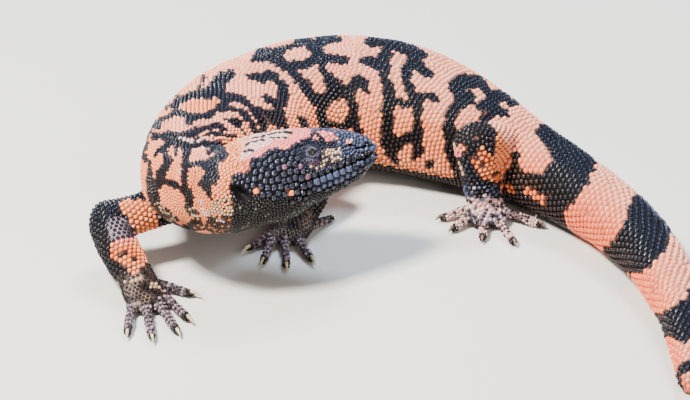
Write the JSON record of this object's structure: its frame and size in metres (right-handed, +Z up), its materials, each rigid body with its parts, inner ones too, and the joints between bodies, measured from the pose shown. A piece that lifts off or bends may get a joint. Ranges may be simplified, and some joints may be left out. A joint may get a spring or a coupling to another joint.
{
  "type": "gila monster",
  "caption": "Still, life-size Gila monster that lies curled on its belly, head turned back along its left flank, with beaded skin and clawed feet.",
  "frame": {"origin": "on the floor, at the middle of the belly's flat underside", "axes": "+X towards the side that the tail lies on, +Y towards the back of the curled body, +Z up"},
  "size_m": [0.2427, 0.2582, 0.0607],
  "materials": {
    "skin": "satin beads, salmon and blue-black",
    "eyes": "wet gloss"
  },
  "bodies": {
    "root": {"head": "skin", "eye_left": "eyes", "eye_right": "eyes", "neck": "skin", "chest": "skin", "trunk": "skin", "pelvis": "skin", "tail_1": "skin", "tail_2": "skin", "tail_3": "skin", "tail_4": "skin", "upper_arm_right": "skin", "forearm_right": "skin", "hand_right": "skin", "upper_arm_left": "skin", "forearm_left": "skin", "hand_left": "skin", "thigh_left": "skin", "shank_left": "skin", "foot_left": "skin", "thigh_right": "skin", "shank_right": "skin", "foot_right": "skin"}
  },
  "joints": []
}
